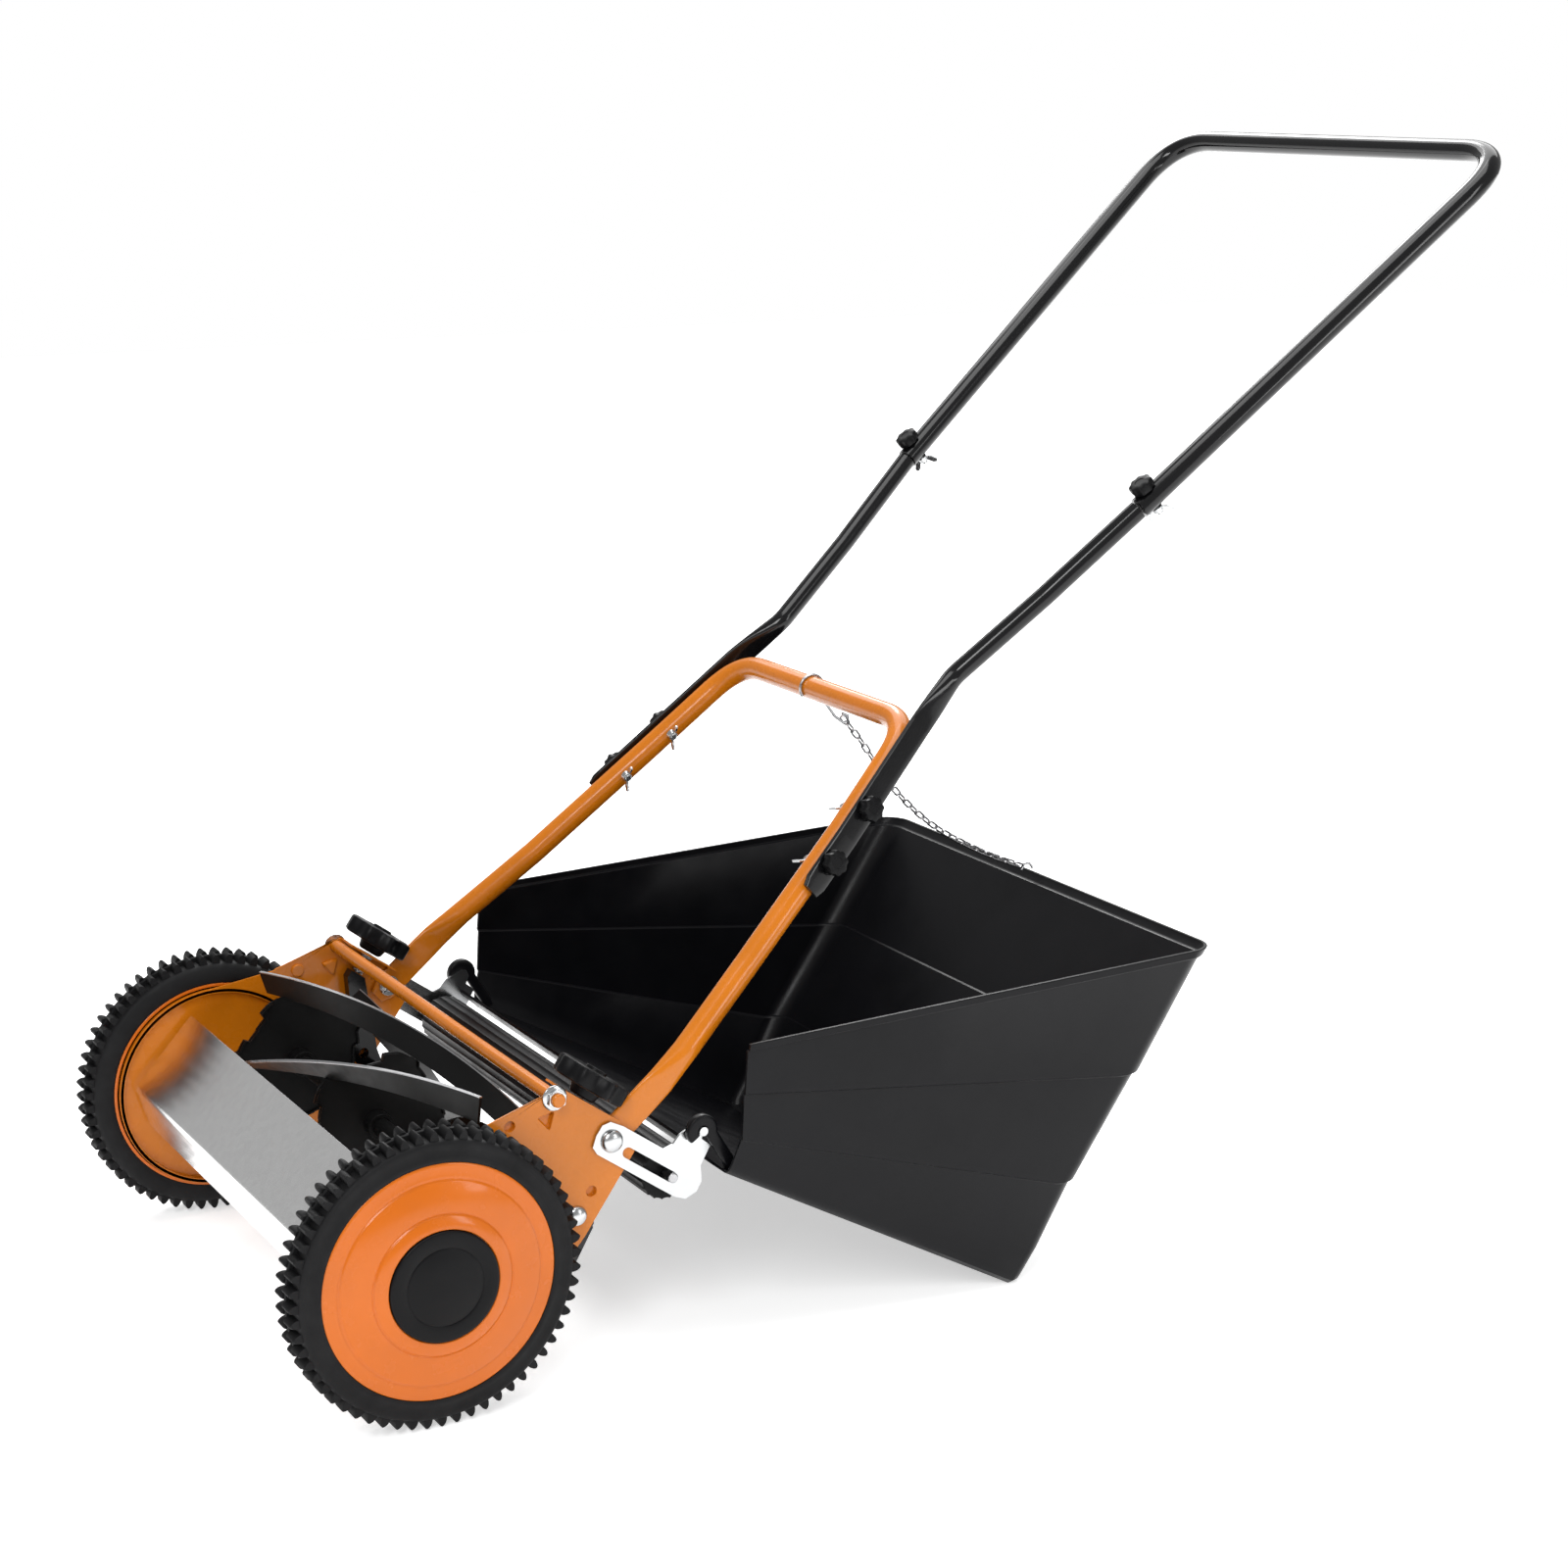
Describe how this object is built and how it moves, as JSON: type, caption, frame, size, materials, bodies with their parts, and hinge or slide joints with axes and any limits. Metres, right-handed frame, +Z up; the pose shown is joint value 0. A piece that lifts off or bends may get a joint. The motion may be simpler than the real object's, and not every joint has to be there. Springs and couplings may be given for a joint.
{
  "type": "reel mower",
  "caption": "Push reel mower: orange side plates and wheel discs, black two-part tube handle, lugged tyres, rear roller and black moulded grass catcher on a chain.",
  "frame": {"origin": "on the ground below the middle of the bounding box", "axes": "+X to the operator's left along the wheel axle, +Y to the rear, +Z up"},
  "size_m": [0.6126, 1.2417, 1.0103],
  "materials": {
    "orange_paint": "gloss",
    "black_paint": "gloss",
    "reel_paint": "gloss",
    "zinc": "satin",
    "steel": "satin",
    "black_plastic": "matte",
    "catcher_plastic": "satin",
    "orange_plastic": "gloss",
    "tyre_rubber": "matte"
  },
  "bodies": {
    "root": {"side_plate_left": "orange_paint", "side_plate_right": "orange_paint", "tie_rod": "orange_paint", "front_guard": "zinc", "stub_axle_left": "steel", "reel_bearing_left": "black_plastic", "roller_bracket_left": "zinc", "bracket_bolt_left": "zinc", "knife_pivot_left": "zinc", "adjuster_spring_left": "steel", "stub_axle_right": "steel", "reel_bearing_right": "black_plastic", "roller_bracket_right": "zinc", "bracket_bolt_right": "zinc", "knife_pivot_right": "zinc", "adjuster_spring_right": "steel", "lower_handle": "orange_paint", "mid_tube_left": "black_paint", "mid_tube_right": "black_paint", "upper_handle": "black_paint", "chain": "zinc", "clamp_nut_left_1": "zinc", "clamp_nut_left_2": "zinc", "clamp_nut_left_3": "zinc", "clamp_nut_right_1": "zinc", "clamp_nut_right_2": "zinc", "clamp_nut_right_3": "zinc"},
    "clamp_left_1": {"clamp_knob_left_1": "black_plastic"},
    "clamp_left_2": {"clamp_knob_left_2": "black_plastic"},
    "clamp_left_3": {"clamp_knob_left_3": "black_plastic"},
    "clamp_right_1": {"clamp_knob_right_1": "black_plastic"},
    "clamp_right_2": {"clamp_knob_right_2": "black_plastic"},
    "clamp_right_3": {"clamp_knob_right_3": "black_plastic"},
    "adjuster_left": {"adjuster_knob_left": "black_plastic"},
    "adjuster_right": {"adjuster_knob_right": "black_plastic"},
    "reel": {"reel_shaft": "steel", "reel_blade_1": "reel_paint", "reel_blade_2": "reel_paint", "reel_blade_3": "reel_paint", "reel_blade_4": "reel_paint", "reel_blade_5": "reel_paint", "reel_spider_1": "reel_paint", "reel_spider_2": "reel_paint", "reel_spider_3": "reel_paint", "drive_pinion_left": "steel", "drive_pinion_right": "steel"},
    "wheel_left": {"wheel_left": "orange_plastic", "ring_gear_left": "black_plastic", "hub_cap_left": "black_plastic", "tyre_left": "tyre_rubber"},
    "wheel_right": {"wheel_right": "orange_plastic", "ring_gear_right": "black_plastic", "hub_cap_right": "black_plastic", "tyre_right": "tyre_rubber"},
    "bed_knife": {"bed_knife_bar": "black_paint", "bed_knife": "steel"},
    "roller_carriage": {"roller_rod": "steel"},
    "roller": {"roller": "black_plastic"},
    "catcher": {"catcher": "catcher_plastic"}
  },
  "joints": [
    {"name": "reel_spin", "type": "hinge", "parent": "root", "child": "reel", "pos_m": [0, -0.43175, 0.1595], "axis": [1, 0, 0], "continuous": true},
    {"name": "wheel_left_spin", "type": "hinge", "parent": "root", "child": "wheel_left", "pos_m": [0.275, -0.49355, 0.1275], "axis": [1, 0, 0], "continuous": true},
    {"name": "wheel_right_spin", "type": "hinge", "parent": "root", "child": "wheel_right", "pos_m": [-0.275, -0.49355, 0.1275], "axis": [1, 0, 0], "continuous": true},
    {"name": "roller_height", "type": "slide", "parent": "root", "child": "roller_carriage", "axis": [0, 0.8141, -0.5807], "range_m": [-0.025, 0]},
    {"name": "roller_spin", "type": "hinge", "parent": "roller_carriage", "child": "roller", "pos_m": [0, -0.26398, 0.1609], "axis": [1, 0, 0], "continuous": true},
    {"name": "catcher_swing", "type": "hinge", "parent": "root", "child": "catcher", "pos_m": [0, -0.2375, 0.19974], "axis": [1, 0, 0], "range_deg": [-1.5, 0]},
    {"name": "bed_knife_tilt", "type": "hinge", "parent": "root", "child": "bed_knife", "pos_m": [0, -0.35185, 0.14189], "axis": [1, 0, 0], "range_deg": [0, 1.2]},
    {"name": "adjuster_left_turn", "type": "hinge", "parent": "root", "child": "adjuster_left", "pos_m": [0.2395, -0.33019, 0.25664], "axis": [0, 0.5807, 0.8141], "range_deg": [0, 360]},
    {"name": "adjuster_right_turn", "type": "hinge", "parent": "root", "child": "adjuster_right", "pos_m": [-0.2395, -0.33019, 0.25664], "axis": [0, 0.5807, 0.8141], "range_deg": [0, 360]},
    {"name": "clamp_left_1_turn", "type": "hinge", "parent": "root", "child": "clamp_left_1", "pos_m": [0.19468, -0.08655, 0.40133], "axis": [0.979, 0.153, 0.1346], "range_deg": [0, 360]},
    {"name": "clamp_left_2_turn", "type": "hinge", "parent": "root", "child": "clamp_left_2", "pos_m": [0.18161, -0.04255, 0.4409], "axis": [0.9736, 0.168, 0.1547], "range_deg": [0, 360]},
    {"name": "clamp_left_3_turn", "type": "hinge", "parent": "root", "child": "clamp_left_3", "pos_m": [0.20221, 0.25282, 0.69811], "axis": [0, -0.6454, 0.7639], "range_deg": [0, 360]},
    {"name": "clamp_right_1_turn", "type": "hinge", "parent": "root", "child": "clamp_right_1", "pos_m": [-0.19468, -0.08655, 0.40133], "axis": [-0.979, 0.153, 0.1346], "range_deg": [0, 360]},
    {"name": "clamp_right_2_turn", "type": "hinge", "parent": "root", "child": "clamp_right_2", "pos_m": [-0.18161, -0.04255, 0.4409], "axis": [-0.9736, 0.168, 0.1547], "range_deg": [0, 360]},
    {"name": "clamp_right_3_turn", "type": "hinge", "parent": "root", "child": "clamp_right_3", "pos_m": [-0.20221, 0.25282, 0.69811], "axis": [0, -0.6454, 0.7639], "range_deg": [0, 360]}
  ],
  "couplings": [
    {"joint": "wheel_left_spin", "follows": "reel_spin", "ratio": 0.2},
    {"joint": "wheel_right_spin", "follows": "reel_spin", "ratio": 0.2},
    {"joint": "bed_knife_tilt", "follows": "adjuster_left_turn", "ratio": 0.0033333},
    {"joint": "adjuster_right_turn", "follows": "adjuster_left_turn", "ratio": 1}
  ]
}
